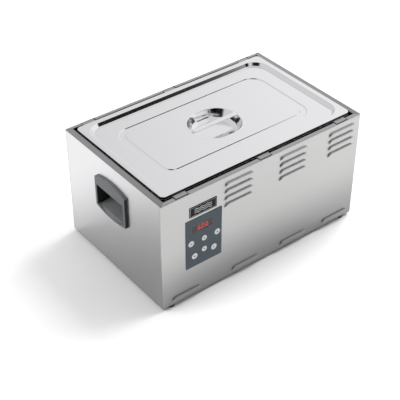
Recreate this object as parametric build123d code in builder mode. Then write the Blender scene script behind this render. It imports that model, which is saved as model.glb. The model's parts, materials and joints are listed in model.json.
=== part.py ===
from build123d import *
import os

# Sous vide water bath: a folded stainless casing on rubber feet, a deep tank with a lift-off lid,
# a control panel on the long front side and a cup handle in each short side.
# Millimetres, +Z up, front at -Y. The origin is the centre of the footprint, on the floor.

os.makedirs("parts", exist_ok=True)

# ---- Casing ----
CASE_L, CASE_W = 565.0, 360.0
CASE_TOP = 290.0
FOOT_H = 8.0
PANEL_BOTTOM = 10.0
SHEET = 1.0
BEND_R = 3.0
FLANGE_LONG, FLANGE_SHORT = 10.0, 14.5
SEAM_IN = 4.0
SEAM_GAP = 0.3
FRONT_Y = -CASE_W / 2
SIDE_X = CASE_L / 2
INNER_L, INNER_W = CASE_L - 2 * SHEET, CASE_W - 2 * SHEET

# ---- Tank and lid, a full-size gastronorm pair ----
GN_L, GN_W, GN_R = 530.0, 325.0, 11.0
MOUTH_L, MOUTH_W, MOUTH_R = 505.0, 300.0, 42.0
FLOOR_L, FLOOR_W, FLOOR_R = 481.0, 276.0, 32.0
TANK_RIM_TOP = 288.0
TANK_BOTTOM = 90.0
TANK_FILLET = 16.0
TAB_XS = (-225.0, 0.0, 225.0)
TAB_W, TAB_OUT = 31.0, 176.5
NOTCH_W, NOTCH_SHIFT = 35.0, -1.0

LID_TOP = 294.4
LID_SKIRT_BOTTOM = TANK_RIM_TOP + 0.3
LID_FLOOR = 286.0
LID_SHEET = 1.0
STEP_L, STEP_W, STEP_R = 504.0, 299.0, 40.0
STEP_RUN = 5.0
GROOVE_L, GROOVE_W, GROOVE_R = 413.0, 208.0, 36.0
GROOVE_WIDTH, GROOVE_DEPTH, GROOVE_SLOPE = 15.5, 2.0, 1.8
BOWL_L, BOWL_W, BOWL_R, BOWL_DEPTH = 122.0, 113.0, 48.0, 23.0
STRAP_L, STRAP_W, STRAP_TOP = 128.0, 13.5, 288.2

# ---- Louvres ----
HOOD_L, HOOD_H, HOOD_D = 80.0, 9.5, 4.0
LOUVRE_COLUMNS = (-76.0, 79.0, 225.0)
LOUVRE_ROWS = (269.5, 251.4, 233.2, 215.0)
LOW_LOUVRES = (-218.0, -51.0, 92.0, 226.0)
LOW_LOUVRE_Z = 24.0

# ---- Controls ----
PANEL_X, PANEL_Z, PANEL_W, PANEL_H = -171.5, 154.3, 97.0, 130.0
OVERLAY_T = 1.0
FRAME_W, FRAME_H, FRAME_T = 92.0, 118.0, 2.5
DISPLAY_X, DISPLAY_Z, DISPLAY_W, DISPLAY_H = -175.15, 190.85, 54.5, 18.9
LENS_T = 0.8
LAMP_X, LAMP_Z, LAMP_R, LAMP_PROUD = -171.0, 140.7, 1.6, 0.2
KEYS = {
    "key_upper_left": (-206.0, 155.5, 7.5),
    "key_up": (-170.7, 155.6, 6.75),
    "key_upper_right": (-135.3, 155.5, 7.5),
    "key_lower_left": (-197.0, 117.6, 7.5),
    "key_down": (-170.7, 125.5, 6.75),
    "key_lower_right": (-144.4, 117.7, 7.5),
}
KEY_GAP, KEY_PROUD, KEY_FLANGE = 0.35, 0.5, 1.0
BOARD_Y, BOARD_T = -170.5, 1.6
SWITCH_TOP = 3.5
KEY_TRAVEL_GAP = 0.7
BADGE_X, BADGE_Z, BADGE_W, BADGE_H, BADGE_T = -173.35, 238.9, 72.5, 26.4, 0.6

# ---- Cup handles ----
GRIP_PROUD, GRIP_W = 6.5, 115.0
GRIP_TOP, GRIP_BOTTOM = 236.0, 158.5
GRIP_TOP_MID, GRIP_BOTTOM_MID = 246.0, 150.5
GRIP_CORNER_R, GRIP_EDGE_R = 2.5, 1.2
GRIP_OPEN_W, GRIP_OPEN_TOP = 100.0, 216.5
GRIP_SILL, GRIP_SILL_MID = 163.0, 155.5
GRIP_DEPTH, GRIP_WALL = 32.0, 2.5
GRIP_POCKET_TOP = 232.0
GRIP_LIP_T, GRIP_LIP_BEVEL = 12.0, 4.0

# ---- Feet and base ----
FOOT_X, FOOT_Y, FOOT_R = 255.0, 168.0, 11.0
BASE_T = 1.2
BASE_TOP = FOOT_H + BASE_T


def finish(builder, label):
    """Label a finished piece and write its file."""
    builder.part.label = label
    export_step(builder.part, f"parts/{label}.step")


# =====================================================================
# Casing panels: one folded shell, divided at the corner seams
# =====================================================================
with BuildPart() as shell:
    with BuildSketch(Plane.XY.offset(PANEL_BOTTOM)):
        RectangleRounded(CASE_L, CASE_W, BEND_R)
    extrude(amount=CASE_TOP - PANEL_BOTTOM)
    fillet(shell.faces().sort_by(Axis.Z)[-1].edges(), radius=BEND_R - 0.5)
    with BuildSketch(Plane.XY.offset(PANEL_BOTTOM)):
        RectangleRounded(INNER_L, INNER_W, BEND_R - SHEET)
    extrude(amount=CASE_TOP - SHEET - PANEL_BOTTOM, mode=Mode.SUBTRACT)
    with BuildSketch(Plane.XY.offset(CASE_TOP - 5)):
        Rectangle(CASE_L - 2 * FLANGE_SHORT, CASE_W - 2 * FLANGE_LONG)
    extrude(amount=10, mode=Mode.SUBTRACT)

with BuildPart() as front_zone:
    with Locations((0, FRONT_Y, 0)):
        Box(CASE_L, 2 * SEAM_IN, CASE_TOP - SHEET, align=(Align.CENTER, Align.CENTER, Align.MIN))
    with BuildSketch(Plane.XY.offset(CASE_TOP - SHEET)):
        with BuildLine():
            Polyline(
                (-SIDE_X + SEAM_GAP, FRONT_Y),
                (SIDE_X - SEAM_GAP, FRONT_Y),
                (SIDE_X - FLANGE_SHORT - SEAM_GAP, FRONT_Y + FLANGE_LONG),
                (-SIDE_X + FLANGE_SHORT + SEAM_GAP, FRONT_Y + FLANGE_LONG),
                close=True,
            )
        make_face()
    extrude(amount=SHEET)

with BuildPart() as left_zone:
    with Locations((-SIDE_X, 0, 0)):
        Box(
            2 * SEAM_IN,
            CASE_W - 2 * SEAM_IN - 2 * SEAM_GAP,
            CASE_TOP - SHEET,
            align=(Align.CENTER, Align.CENTER, Align.MIN),
        )
    with BuildSketch(Plane.XY.offset(CASE_TOP - SHEET)):
        with BuildLine():
            Polyline(
                (-SIDE_X, FRONT_Y + SEAM_GAP),
                (-SIDE_X + FLANGE_SHORT, FRONT_Y + FLANGE_LONG + SEAM_GAP),
                (-SIDE_X + FLANGE_SHORT, -FRONT_Y - FLANGE_LONG - SEAM_GAP),
                (-SIDE_X, -FRONT_Y - SEAM_GAP),
                close=True,
            )
        make_face()
    extrude(amount=SHEET)

def front_plane(y):
    """Vertical plane whose sketch x and y are the object's X and Z, facing the front."""
    return Plane(origin=(0, y, 0), x_dir=(1, 0, 0), z_dir=(0, -1, 0))


def hood(length, height, depth):
    """Louvre hood on the plane y = 0: half of a pill-shaped dome, its lip at z = 0."""
    with BuildPart() as dome:
        with BuildSketch(front_plane(0)):
            SlotOverall(length, 2 * height)
        extrude(amount=depth)
        fillet(dome.faces().sort_by(Axis.Y)[0].edges(), radius=depth - 0.2)
        split(bisect_by=Plane.XY, keep=Keep.TOP)
    return dome.part


HOOD_OUTER = hood(HOOD_L, HOOD_H, HOOD_D)
HOOD_INNER = hood(HOOD_L - 1.8, HOOD_H - 0.9, HOOD_D - 0.9)
LOUVRE_SPOTS = [(x, FRONT_Y, z - HOOD_H / 2) for x in LOUVRE_COLUMNS for z in LOUVRE_ROWS]
LOUVRE_SPOTS += [(x, FRONT_Y, LOW_LOUVRE_Z - HOOD_H / 2) for x in LOW_LOUVRES]
SLOT_L, SLOT_H = HOOD_L - 8.0, HOOD_H - 3.5


def folded_side():
    """The long side without its openings: face, top flange with tab notches, and louvres."""
    with BuildPart() as side:
        add(shell.part)
        add(front_zone.part, mode=Mode.INTERSECT)
        with Locations(*[(x + NOTCH_SHIFT, FRONT_Y + SHEET, CASE_TOP - 5) for x in TAB_XS]):
            Box(
                NOTCH_W, FLANGE_LONG + 5, 10,
                align=(Align.CENTER, Align.MIN, Align.MIN), mode=Mode.SUBTRACT,
            )
        for spot in LOUVRE_SPOTS:
            add(HOOD_OUTER.moved(Location(spot)))
        for spot in LOUVRE_SPOTS:
            add(HOOD_INNER.moved(Location(spot)), mode=Mode.SUBTRACT)
        with Locations(*[(x, y + SHEET / 2, z + 0.5) for x, y, z in LOUVRE_SPOTS]):
            Box(
                SLOT_L, 2 * SHEET, SLOT_H,
                align=(Align.CENTER, Align.CENTER, Align.MIN), mode=Mode.SUBTRACT,
            )
    return side.part


LONG_SIDE = folded_side()

with BuildPart() as front_panel:
    add(LONG_SIDE)
    with Locations((PANEL_X, FRONT_Y, PANEL_Z)):
        Box(FRAME_W, 5, FRAME_H, mode=Mode.SUBTRACT)
finish(front_panel, "front_panel")

# ---- Rear panel: the same folded side, with the inlet's opening ----
INLET_X, INLET_Z = 195.0, 62.0
INLET_BODY_W, INLET_BODY_H, INLET_BODY_D = 28.0, 20.0, 22.0
INLET_FLANGE_W, INLET_FLANGE_H, INLET_FLANGE_T = 50.0, 24.0, 3.0
INLET_SCREW_X, INLET_HOLE_R, INLET_FIT = 20.0, 1.6, 0.4

with BuildPart() as rear_panel:
    add(LONG_SIDE.rotate(Axis.Z, 180))
    with Locations((INLET_X, -FRONT_Y, INLET_Z)):
        Box(INLET_BODY_W + INLET_FIT, 5 * SHEET, INLET_BODY_H + INLET_FIT, mode=Mode.SUBTRACT)
    with Locations(*[(INLET_X + dx, -FRONT_Y, INLET_Z) for dx in (-INLET_SCREW_X, INLET_SCREW_X)]):
        Cylinder(INLET_HOLE_R, 5 * SHEET, rotation=(90, 0, 0), mode=Mode.SUBTRACT)
finish(rear_panel, "rear_panel")

# ---- Side panels, each with an opening for its cup handle ----
CUP_W = GRIP_OPEN_W + 2 * GRIP_WALL
CUP_BOTTOM, CUP_TOP = 158.5, GRIP_POCKET_TOP + GRIP_WALL
CUP_FIT = 0.4
with BuildPart() as left_panel:
    add(shell.part)
    add(left_zone.part, mode=Mode.INTERSECT)
    with Locations((-SIDE_X, 0, (CUP_BOTTOM + CUP_TOP) / 2)):
        Box(5 * SHEET, CUP_W + CUP_FIT, CUP_TOP - CUP_BOTTOM + CUP_FIT, mode=Mode.SUBTRACT)
finish(left_panel, "left_panel")

with BuildPart() as right_panel:
    add(mirror(left_panel.part, about=Plane.YZ, mode=Mode.PRIVATE))
finish(right_panel, "right_panel")

# ---- Base plate with an upturned lip inside the panels ----
LIP_L, LIP_W, LIP_H = INNER_L - 0.4, INNER_W - 0.4, 13.0
FOOT_SPOTS = [(x, y) for x in (-FOOT_X, FOOT_X) for y in (-FOOT_Y, FOOT_Y)]
FOOT_BORE_R, FOOT_HEAD_R = 2.1, 4.0
FOOT_SCREW_L, FOOT_HEAD_H, FOOT_TAPER = 9.0, 2.2, 1.0
with BuildPart() as base_plate:
    with BuildSketch(Plane.XY.offset(FOOT_H)):
        RectangleRounded(CASE_L - 0.6, CASE_W - 0.6, BEND_R)
    extrude(amount=BASE_T)
    with BuildSketch(Plane.XY.offset(BASE_TOP)):
        RectangleRounded(LIP_L, LIP_W, BEND_R - SHEET)
        RectangleRounded(LIP_L - 2 * SHEET, LIP_W - 2 * SHEET, BEND_R - 1.5 * SHEET, mode=Mode.SUBTRACT)
    extrude(amount=LIP_H)
    with Locations(*[(x, y, FOOT_H) for x, y in FOOT_SPOTS]):
        Cylinder(FOOT_BORE_R, 4, mode=Mode.SUBTRACT)
finish(base_plate, "base_plate")

# ---- Rubber feet: round, narrower at the floor, with a recess for the screw head ----
FOOT_RECESS = 3.0
with BuildPart() as rubber_feet:
    with Locations(*[(x, y, 0) for x, y in FOOT_SPOTS]):
        Cone(FOOT_R - FOOT_TAPER, FOOT_R, FOOT_H, align=(Align.CENTER, Align.CENTER, Align.MIN))
    with Locations(*[(x, y, 0) for x, y in FOOT_SPOTS]):
        Cylinder(FOOT_BORE_R, 3 * FOOT_H, mode=Mode.SUBTRACT)
        Cylinder(
            FOOT_HEAD_R + 0.3, FOOT_RECESS,
            align=(Align.CENTER, Align.CENTER, Align.MIN), mode=Mode.SUBTRACT,
        )
finish(rubber_feet, "rubber_feet")

with BuildPart() as foot_screws:
    with Locations(*[(x, y, FOOT_RECESS) for x, y in FOOT_SPOTS]):
        Cylinder(FOOT_HEAD_R, FOOT_HEAD_H, align=(Align.CENTER, Align.CENTER, Align.MAX))
        Cylinder(FOOT_BORE_R - 0.1, FOOT_SCREW_L, align=(Align.CENTER, Align.CENTER, Align.MIN))
finish(foot_screws, "foot_screws")

# ---- Corner angles that join the panels inside ----
ANGLE_LEG, ANGLE_T, ANGLE_BOTTOM, ANGLE_TOP = 16.0, 1.5, 24.0, 274.0
with BuildPart() as corner_angles:
    with BuildSketch(Plane.XY.offset(ANGLE_BOTTOM)) as angle_plan:
        RectangleRounded(INNER_L, INNER_W, BEND_R - SHEET)
        Rectangle(INNER_L - 2 * ANGLE_T, INNER_W - 2 * ANGLE_T, mode=Mode.SUBTRACT)
        Rectangle(INNER_L - 2 * ANGLE_LEG, INNER_W + 2, mode=Mode.SUBTRACT)
        Rectangle(INNER_L + 2, INNER_W - 2 * ANGLE_LEG, mode=Mode.SUBTRACT)
    extrude(amount=ANGLE_TOP - ANGLE_BOTTOM)
finish(corner_angles, "corner_angles")

# =====================================================================
# Tank
# =====================================================================
PROBE_X, PROBE_HOLE_R = -214.0, 4.0
with BuildPart() as tank:
    with BuildSketch(Plane.XY.offset(TANK_BOTTOM)):
        RectangleRounded(FLOOR_L, FLOOR_W, FLOOR_R)
    with BuildSketch(Plane.XY.offset(TANK_RIM_TOP - SHEET)):
        RectangleRounded(MOUTH_L, MOUTH_W, MOUTH_R)
    loft(ruled=True)
    fillet(tank.faces().sort_by(Axis.Z)[0].edges(), radius=TANK_FILLET)
    with BuildSketch(Plane.XY.offset(TANK_RIM_TOP - SHEET)):
        RectangleRounded(GN_L, GN_W, GN_R)
    extrude(amount=SHEET)
    with BuildPart(mode=Mode.PRIVATE) as tank_inside:
        with BuildSketch(Plane.XY.offset(TANK_BOTTOM + SHEET)):
            RectangleRounded(FLOOR_L - 2 * SHEET, FLOOR_W - 2 * SHEET, FLOOR_R - SHEET)
        with BuildSketch(Plane.XY.offset(TANK_RIM_TOP)):
            RectangleRounded(MOUTH_L - 2 * SHEET, MOUTH_W - 2 * SHEET, MOUTH_R - SHEET)
        loft(ruled=True)
        fillet(tank_inside.faces().sort_by(Axis.Z)[0].edges(), radius=TANK_FILLET - SHEET)
    add(tank_inside.part, mode=Mode.SUBTRACT)
    with Locations((PROBE_X, 0, TANK_BOTTOM)):
        Cylinder(PROBE_HOLE_R, 10, mode=Mode.SUBTRACT)
finish(tank, "tank")

# ---- Hanger tabs under the rim: each rests on a rail, its end folded up flush with the casing's top ----
RAIL_L, RAIL_H, RAIL_LEG = 500.0, 22.0, 8.0
RAIL_TOP = TANK_RIM_TOP - 2 * SHEET
TAB_IN, TAB_HEM = 152.5, 165.0
with BuildPart() as hanger_tabs:
    for side in (-1, 1):
        with Locations(*[(x, side * (TAB_IN + TAB_OUT) / 2, RAIL_TOP) for x in TAB_XS]):
            Box(TAB_W, TAB_OUT - TAB_IN, SHEET, align=(Align.CENTER, Align.CENTER, Align.MIN))
        with Locations(*[(x, side * (TAB_HEM + TAB_OUT) / 2, RAIL_TOP) for x in TAB_XS]):
            Box(TAB_W, TAB_OUT - TAB_HEM, CASE_TOP - RAIL_TOP,
                align=(Align.CENTER, Align.CENTER, Align.MIN))
finish(hanger_tabs, "hanger_tabs")

with BuildPart() as tank_rails:
    with BuildSketch(Plane.YZ.offset(-RAIL_L / 2)):
        with BuildLine():
            Polyline(
                (-INNER_W / 2, RAIL_TOP),
                (-INNER_W / 2 + RAIL_LEG, RAIL_TOP),
                (-INNER_W / 2 + RAIL_LEG, RAIL_TOP - SHEET),
                (-INNER_W / 2 + SHEET, RAIL_TOP - SHEET),
                (-INNER_W / 2 + SHEET, RAIL_TOP - RAIL_H),
                (-INNER_W / 2, RAIL_TOP - RAIL_H),
                close=True,
            )
        make_face()
    extrude(amount=RAIL_L)
    mirror(about=Plane.XZ)
finish(tank_rails, "tank_rails")

# ---- Rim seal: silicone sheet that closes the gap around the tank ----
SEAL_TOP, SEAL_T = 282.0, 2.0
with BuildPart() as rim_seal:
    with BuildSketch(Plane.XY.offset(SEAL_TOP - SEAL_T)):
        RectangleRounded(INNER_L - 1, INNER_W - 2.4, 2)
        RectangleRounded(MOUTH_L + 0.8, MOUTH_W + 0.8, MOUTH_R, mode=Mode.SUBTRACT)
    extrude(amount=SEAL_T)
finish(rim_seal, "rim_seal")

# ---- Perforated bottom grid on folded legs ----
GRID_L, GRID_W, GRID_TOP, GRID_HOLE_R, GRID_PITCH = 408.0, 232.0, 110.0, 4.0, 24.0
with BuildPart() as bottom_grid:
    with BuildSketch(Plane.XY.offset(TANK_BOTTOM + SHEET)):
        RectangleRounded(GRID_L, GRID_W, 4)
    extrude(amount=GRID_TOP - TANK_BOTTOM - SHEET)
    with Locations((0, 0, GRID_TOP - SHEET)):
        Box(GRID_L - 2 * SHEET, GRID_W + 2, 40, align=(Align.CENTER, Align.CENTER, Align.MAX),
            mode=Mode.SUBTRACT)
    with Locations((0, 0, GRID_TOP)):
        with GridLocations(GRID_PITCH, GRID_PITCH, 15, 8):
            Cylinder(GRID_HOLE_R, 5, mode=Mode.SUBTRACT)
finish(bottom_grid, "bottom_grid")

# ---- Heater mat, its pressure plate and the insulation ----
MAT_L, MAT_W, MAT_T = 380.0, 200.0, 3.0
PRESS_T = 1.5
with BuildPart() as heater_mat:
    with BuildSketch(Plane.XY.offset(TANK_BOTTOM - MAT_T)):
        RectangleRounded(MAT_L, MAT_W, 8)
    extrude(amount=MAT_T)
finish(heater_mat, "heater_mat")

PRESS_TOP = TANK_BOTTOM - MAT_T
with BuildPart() as pressure_plate:
    with BuildSketch(Plane.XY.offset(PRESS_TOP - PRESS_T)):
        RectangleRounded(MAT_L + 12, MAT_W + 12, 8)
    extrude(amount=PRESS_T)
finish(pressure_plate, "pressure_plate")

WOOL_T = 10.0
WOOL_TOP = PRESS_TOP - PRESS_T
with BuildPart() as bottom_insulation:
    with Locations((0, 0, WOOL_TOP - WOOL_T / 2)):
        Box(MAT_L, MAT_W, WOOL_T)
finish(bottom_insulation, "bottom_insulation")

WOOL_LOW, WOOL_HIGH, WOOL_Y, WOOL_L = 100.0, 262.0, 159.0, 430.0
for side, label in ((-1, "front_insulation"), (1, "rear_insulation")):
    with BuildPart() as wool:
        with Locations((0, side * WOOL_Y, WOOL_LOW)):
            Box(WOOL_L, WOOL_T, WOOL_HIGH - WOOL_LOW, align=(Align.CENTER, Align.CENTER, Align.MIN))
    finish(wool, label)

# ---- Temperature probe through the tank's floor, and its gland ----
PROBE_R, PROBE_LOW, PROBE_TOP = 3.0, 74.0, 150.0
GLAND_R, GLAND_NUT_H, GLAND_HEAD_H = 8.0, 8.0, 3.0
with BuildPart() as temperature_probe:
    with Locations((PROBE_X, 0, PROBE_LOW)):
        Cylinder(PROBE_R, PROBE_TOP - PROBE_LOW, align=(Align.CENTER, Align.CENTER, Align.MIN))
    fillet(temperature_probe.edges().group_by(Axis.Z)[-1], radius=PROBE_R - 0.2)
finish(temperature_probe, "temperature_probe")

with BuildPart() as probe_gland:
    with BuildSketch(Plane.XY.offset(TANK_BOTTOM - GLAND_NUT_H)):
        with Locations((PROBE_X, 0)):
            RegularPolygon(GLAND_R, 6)
    extrude(amount=GLAND_NUT_H)
    with Locations((PROBE_X, 0, TANK_BOTTOM)):
        Cylinder(PROBE_HOLE_R - 0.05, SHEET, align=(Align.CENTER, Align.CENTER, Align.MIN))
    with Locations((PROBE_X, 0, TANK_BOTTOM + SHEET)):
        Cylinder(GLAND_R - 2, GLAND_HEAD_H, align=(Align.CENTER, Align.CENTER, Align.MIN))
    with Locations((PROBE_X, 0, TANK_BOTTOM)):
        Cylinder(PROBE_R + 0.05, 40, mode=Mode.SUBTRACT)
finish(probe_gland, "probe_gland")

CUTOUT_X, CUTOUT_R, CUTOUT_H = 212.0, 8.0, 9.0
BLADE_TAB = (3.0, 6.0, 8.0)
with BuildPart() as safety_thermostat:
    with Locations((CUTOUT_X, 0, TANK_BOTTOM)):
        Cylinder(CUTOUT_R, CUTOUT_H, align=(Align.CENTER, Align.CENTER, Align.MAX))
    with Locations((CUTOUT_X, 0, TANK_BOTTOM - CUTOUT_H)):
        Box(*BLADE_TAB, align=(Align.CENTER, Align.CENTER, Align.MAX))
finish(safety_thermostat, "safety_thermostat")

# =====================================================================
# Lid: rim, skirt, sunken step, stiffening groove, bowl
# =====================================================================
STEP_IN_L, STEP_IN_W, STEP_IN_R = STEP_L - 2 * STEP_RUN, STEP_W - 2 * STEP_RUN, STEP_R - STEP_RUN


def frustum(low_z, low, high_z, high):
    """Solid between two rounded rectangles, each (length, width, corner radius)."""
    with BuildPart() as block:
        with BuildSketch(Plane.XY.offset(low_z)):
            RectangleRounded(*low)
        with BuildSketch(Plane.XY.offset(high_z)):
            RectangleRounded(*high)
        loft(ruled=True)
    return block.part


def grown(size, by):
    """A rounded rectangle's (length, width, radius) grown by a margin on every side."""
    length, width, radius = size
    return length + 2 * by, width + 2 * by, radius + by


STEP_OUT = (STEP_L, STEP_W, STEP_R)
STEP_IN = (STEP_IN_L, STEP_IN_W, STEP_IN_R)
GROOVE_OUT = (GROOVE_L, GROOVE_W, GROOVE_R)
GROOVE_IN = grown(GROOVE_OUT, -GROOVE_WIDTH)
GROOVE_FLOOR = LID_FLOOR - GROOVE_DEPTH
BOWL = (BOWL_L, BOWL_W, BOWL_R)
BOWL_TAPER, BOWL_FOOT_R = 14.0, 11.0
LID_EDGE_R = 2.2

STEP_CUT = frustum(LID_FLOOR, STEP_IN, LID_TOP, STEP_OUT)
STEP_SHELL = frustum(
    LID_FLOOR - LID_SHEET, grown(STEP_IN, LID_SHEET), LID_TOP - LID_SHEET, grown(STEP_OUT, LID_SHEET)
)
# the groove: a shallow tray in the lid's floor with a plateau of the same height inside it
TRAY_OUTSIDE = frustum(
    GROOVE_FLOOR - LID_SHEET, grown(GROOVE_OUT, 0.7 - GROOVE_SLOPE),
    LID_FLOOR - LID_SHEET, grown(GROOVE_OUT, 1.5),
)
TRAY_INSIDE = frustum(GROOVE_FLOOR, grown(GROOVE_OUT, -GROOVE_SLOPE), LID_FLOOR, GROOVE_OUT)
PLATEAU = frustum(GROOVE_FLOOR, GROOVE_IN, LID_FLOOR, grown(GROOVE_IN, -GROOVE_SLOPE))
PLATEAU_HOLLOW = frustum(
    GROOVE_FLOOR - LID_SHEET, grown(GROOVE_IN, -0.7),
    LID_FLOOR - LID_SHEET, grown(GROOVE_IN, -GROOVE_SLOPE - 1.5),
)

with BuildPart() as bowl_outside:
    with BuildSketch(Plane.XY.offset(LID_FLOOR)):
        RectangleRounded(*grown(BOWL, LID_SHEET))
    with BuildSketch(Plane.XY.offset(LID_FLOOR - BOWL_DEPTH - LID_SHEET)):
        RectangleRounded(*grown(BOWL, LID_SHEET - BOWL_TAPER))
    loft(ruled=True)
    fillet(bowl_outside.faces().sort_by(Axis.Z)[0].edges(), radius=BOWL_FOOT_R + LID_SHEET)

with BuildPart() as bowl_inside:
    with BuildSketch(Plane.XY.offset(LID_FLOOR)):
        RectangleRounded(*BOWL)
    with BuildSketch(Plane.XY.offset(LID_FLOOR - BOWL_DEPTH)):
        RectangleRounded(*grown(BOWL, -BOWL_TAPER))
    loft(ruled=True)
    fillet(bowl_inside.faces().sort_by(Axis.Z)[0].edges(), radius=BOWL_FOOT_R)

with BuildPart() as lid_sheet:
    with BuildSketch(Plane.XY.offset(LID_SKIRT_BOTTOM)):
        RectangleRounded(GN_L, GN_W, GN_R)
    extrude(amount=LID_TOP - LID_SKIRT_BOTTOM)
    fillet(lid_sheet.faces().sort_by(Axis.Z)[-1].edges(), radius=LID_EDGE_R)
    with BuildSketch(Plane.XY.offset(LID_SKIRT_BOTTOM)):
        RectangleRounded(GN_L - 2 * LID_SHEET, GN_W - 2 * LID_SHEET, GN_R - LID_SHEET)
    extrude(amount=LID_TOP - LID_SHEET - LID_SKIRT_BOTTOM, mode=Mode.SUBTRACT)
    add(STEP_SHELL)
    add(STEP_CUT, mode=Mode.SUBTRACT)
    add(TRAY_OUTSIDE)
    add(TRAY_INSIDE, mode=Mode.SUBTRACT)
    add(PLATEAU)
    add(PLATEAU_HOLLOW, mode=Mode.SUBTRACT)
    add(bowl_outside.part)
    add(bowl_inside.part, mode=Mode.SUBTRACT)
finish(lid_sheet, "lid_sheet")

# ---- Strap handle across the bowl, its ends on the lid's floor ----
STRAP_T, STRAP_EDGE_R = 3.4, 1.5
with BuildPart() as lid_strap:
    with BuildSketch(Plane.XY.offset(LID_FLOOR)):
        SlotOverall(STRAP_L, STRAP_W)
    extrude(amount=STRAP_TOP - LID_FLOOR)
    with Locations((0, 0, LID_FLOOR)):
        Box(
            BOWL_L - 2, STRAP_W - 2, STRAP_T - (STRAP_TOP - LID_FLOOR),
            align=(Align.CENTER, Align.CENTER, Align.MAX),
        )
    fillet(lid_strap.faces().sort_by(Axis.Z)[-1].edges(), radius=STRAP_EDGE_R)
finish(lid_strap, "lid_strap")

# =====================================================================
# Control panel
# =====================================================================
OVERLAY_FACE = FRONT_Y - OVERLAY_T
KEY_FACE = OVERLAY_FACE - KEY_PROUD
FRAME_BACK = FRONT_Y + FRAME_T


def control_plate(y, depth, width, height, radius):
    """Plate with the display's, the lamp's and the keys' openings."""
    with BuildPart() as plate:
        with BuildSketch(front_plane(y)):
            with Locations((PANEL_X, PANEL_Z)):
                RectangleRounded(width, height, radius)
            with Locations((DISPLAY_X, DISPLAY_Z)):
                Rectangle(DISPLAY_W, DISPLAY_H, mode=Mode.SUBTRACT)
            with Locations((LAMP_X, LAMP_Z)):
                Circle(LAMP_R, mode=Mode.SUBTRACT)
            for x, z, radius_key in KEYS.values():
                with Locations((x, z)):
                    Circle(radius_key + KEY_GAP, mode=Mode.SUBTRACT)
        extrude(amount=-depth)
    return plate


control_overlay = control_plate(OVERLAY_FACE, OVERLAY_T, PANEL_W, PANEL_H, 2)
finish(control_overlay, "control_overlay")

control_frame = control_plate(FRONT_Y, FRAME_T, FRAME_W - 0.3, FRAME_H - 0.3, 1)
finish(control_frame, "control_frame")

with BuildPart() as display_window:
    with BuildSketch(front_plane(OVERLAY_FACE)):
        with Locations((DISPLAY_X, DISPLAY_Z)):
            Rectangle(DISPLAY_W - 0.1, DISPLAY_H - 0.1)
    extrude(amount=-LENS_T)
finish(display_window, "display_window")

LENS_GAP, MODULE_GAP, MODULE_RIM = 0.3, 0.3, 1.5
MODULE_FACE = OVERLAY_FACE + LENS_T + LENS_GAP
MODULE_STEP = FRAME_BACK + MODULE_GAP
with BuildPart() as display_module:
    with BuildSketch(front_plane(MODULE_FACE)):
        with Locations((DISPLAY_X, DISPLAY_Z)):
            Rectangle(DISPLAY_W - 2 * MODULE_GAP, DISPLAY_H - 2 * MODULE_GAP)
    extrude(amount=-(MODULE_STEP - MODULE_FACE))
    with BuildSketch(front_plane(MODULE_STEP)):
        with Locations((DISPLAY_X, DISPLAY_Z)):
            Rectangle(DISPLAY_W + 2 * MODULE_RIM, DISPLAY_H + 2 * MODULE_RIM)
    extrude(amount=-(BOARD_Y - MODULE_STEP))
finish(display_module, "display_module")

# ---- Lit digits, seven-segment bars on the module's face ----
DIGIT_W, DIGIT_H, BAR = 6.2, 11.0, 1.3
DIGIT_T = 0.2
SEGMENTS = {
    "top": (0, DIGIT_H / 2 - BAR / 2, DIGIT_W - 2 * BAR, BAR),
    "middle": (0, 0, DIGIT_W - 2 * BAR, BAR),
    "bottom": (0, -DIGIT_H / 2 + BAR / 2, DIGIT_W - 2 * BAR, BAR),
    "upper_left": (-DIGIT_W / 2 + BAR / 2, DIGIT_H / 4, BAR, DIGIT_H / 2 - BAR),
    "upper_right": (DIGIT_W / 2 - BAR / 2, DIGIT_H / 4, BAR, DIGIT_H / 2 - BAR),
    "lower_left": (-DIGIT_W / 2 + BAR / 2, -DIGIT_H / 4, BAR, DIGIT_H / 2 - BAR),
    "lower_right": (DIGIT_W / 2 - BAR / 2, -DIGIT_H / 4, BAR, DIGIT_H / 2 - BAR),
}
ZERO_OFF = ("middle",)
SIX_OFF = ("upper_right",)
DIGITS = ((-9.0, SIX_OFF), (0.5, ZERO_OFF), (11.5, ZERO_OFF))
POINT_DX = 6.0
with BuildPart() as display_digits:
    with BuildSketch(front_plane(MODULE_FACE - DIGIT_T)):
        for dx, unlit in DIGITS:
            for name, (sx, sz, w, h) in SEGMENTS.items():
                if name not in unlit:
                    with Locations((DISPLAY_X + dx + sx, DISPLAY_Z + sz)):
                        Rectangle(w, h)
        with Locations((DISPLAY_X + POINT_DX, DISPLAY_Z - DIGIT_H / 2 + BAR / 2)):
            Rectangle(BAR, BAR)
    extrude(amount=-DIGIT_T)
finish(display_digits, "display_digits")

with BuildPart() as indicator_lamp:
    with BuildSketch(front_plane(OVERLAY_FACE - LAMP_PROUD)):
        with Locations((LAMP_X, LAMP_Z)):
            Circle(LAMP_R - 0.05)
    extrude(amount=-(BOARD_Y - OVERLAY_FACE + LAMP_PROUD))
finish(indicator_lamp, "indicator_lamp")

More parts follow.
